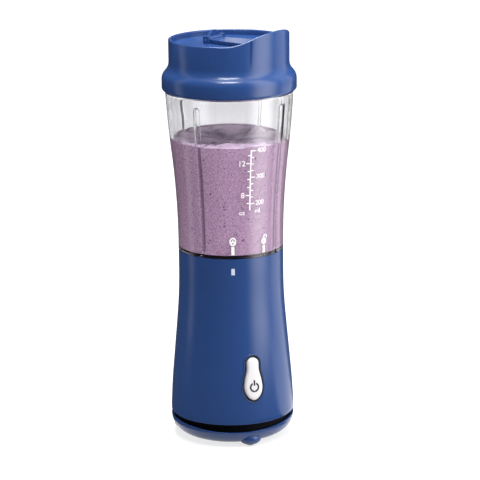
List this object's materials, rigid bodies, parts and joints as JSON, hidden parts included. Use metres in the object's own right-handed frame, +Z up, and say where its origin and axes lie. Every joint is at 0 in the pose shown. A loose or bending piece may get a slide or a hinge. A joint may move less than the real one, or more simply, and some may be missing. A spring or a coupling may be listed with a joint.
{
  "type": "personal blender",
  "caption": "Electric single-serve blender: flared motor base with push button, clear ribbed bayonet jar with blades, and a screw-on drinking lid with raised spout and flip cap.",
  "frame": {"origin": "middle of the footprint, on the surface that the feet rest on", "axes": "+Z up along the jar's axis, -Y towards the button (front), +X to the user's right"},
  "size_m": [0.0974, 0.0974, 0.3042],
  "materials": {
    "blue_plastic": "satin moulded blue plastic",
    "black_plastic": "matte black moulded plastic",
    "grey_plastic": "grey glass-filled plastic",
    "white_plastic": "natural nylon",
    "silver_plastic": "silver-white painted plastic",
    "clear_plastic": "clear copolyester",
    "grey_rubber": "grey rubber",
    "black_rubber": "black rubber",
    "clear_silicone": "translucent silicone",
    "zinc_steel": "zinc-plated steel",
    "shaft_steel": "ground steel",
    "blade_steel": "stainless blade steel",
    "core_steel": "lamination stack",
    "bracket_aluminium": "die-cast aluminium",
    "bronze": "sintered bronze",
    "brass": "brass",
    "copper_wire": "enamelled copper wire",
    "copper_bars": "copper bars",
    "carbon": "carbon block"
  },
  "bodies": {
    "base": {"base_housing": "blue_plastic", "bottom_cover": "blue_plastic", "foot_pads": "grey_rubber", "vent_ring": "black_plastic", "cover_screws": "zinc_steel", "jar_well": "black_plastic", "well_screws": "zinc_steel", "upper_bracket": "bracket_aluminium", "lower_bracket": "bracket_aluminium", "upper_bearing": "bronze", "lower_bearing": "bronze", "motor_mounts": "grey_rubber", "mount_screws": "zinc_steel", "field_bolts": "zinc_steel", "field_core": "core_steel", "field_coils": "copper_wire", "brush_holders": "brass", "carbon_brushes": "carbon", "power_switch": "black_plastic", "cord_grommet": "black_rubber"},
    "rotor": {"rotor_shaft": "shaft_steel", "armature_core": "core_steel", "armature_windings": "copper_wire", "commutator": "copper_bars", "cooling_fan": "white_plastic", "motor_coupling": "black_plastic"},
    "blade_set": {"jar_coupling": "black_plastic", "blade_shaft": "shaft_steel", "lower_blades": "blade_steel", "upper_blades": "blade_steel", "blade_spacer": "shaft_steel", "blade_nut": "shaft_steel"},
    "jar": {"jar": "clear_plastic", "blade_hub": "grey_plastic", "shaft_bushing": "bronze", "shaft_seal": "black_rubber", "hub_gasket": "clear_silicone", "hub_nut": "grey_plastic"},
    "lid_seal": {"lid_gasket": "clear_silicone"},
    "lid": {"lid_shell": "blue_plastic", "cap_hinge_pin": "shaft_steel"},
    "flip_cap": {"flip_cap": "blue_plastic", "drink_hole_plug": "blue_plastic"},
    "button": {"power_button": "silver_plastic"}
  },
  "joints": [
    {"name": "motor_spin", "type": "hinge", "parent": "base", "child": "rotor", "pos_m": [0, 0, 0.06], "axis": [0, 0, 1], "continuous": true},
    {"name": "blade_spin", "type": "hinge", "parent": "base", "child": "blade_set", "pos_m": [0, 0, 0.14], "axis": [0, 0, 1], "continuous": true},
    {"name": "jar_turn", "type": "hinge", "parent": "base", "child": "jar", "pos_m": [0, 0, 0.13], "axis": [0, 0, 1], "range_deg": [-36, 0]},
    {"name": "lid_rise", "type": "slide", "parent": "jar", "child": "lid_seal", "axis": [0, 0, 1], "range_m": [0, 0.009]},
    {"name": "lid_turn", "type": "hinge", "parent": "lid_seal", "child": "lid", "pos_m": [0, 0, 0.265], "axis": [0, 0, 1], "range_deg": [0, 360]},
    {"name": "cap_flip", "type": "hinge", "parent": "lid", "child": "flip_cap", "pos_m": [-0.00727, 0.01078, 0.2942], "axis": [-0.829, -0.5592, 0], "range_deg": [0, 80]},
    {"name": "button_push", "type": "slide", "parent": "base", "child": "button", "axis": [0, 1, 0], "range_m": [0, 0.002], "stiffness_N_per_m": 400, "springref_m": -0.002}
  ],
  "couplings": [
    {"joint": "blade_spin", "follows": "motor_spin", "ratio": 1},
    {"joint": "lid_rise", "follows": "lid_turn", "m_per_rad": 0.0014324}
  ]
}
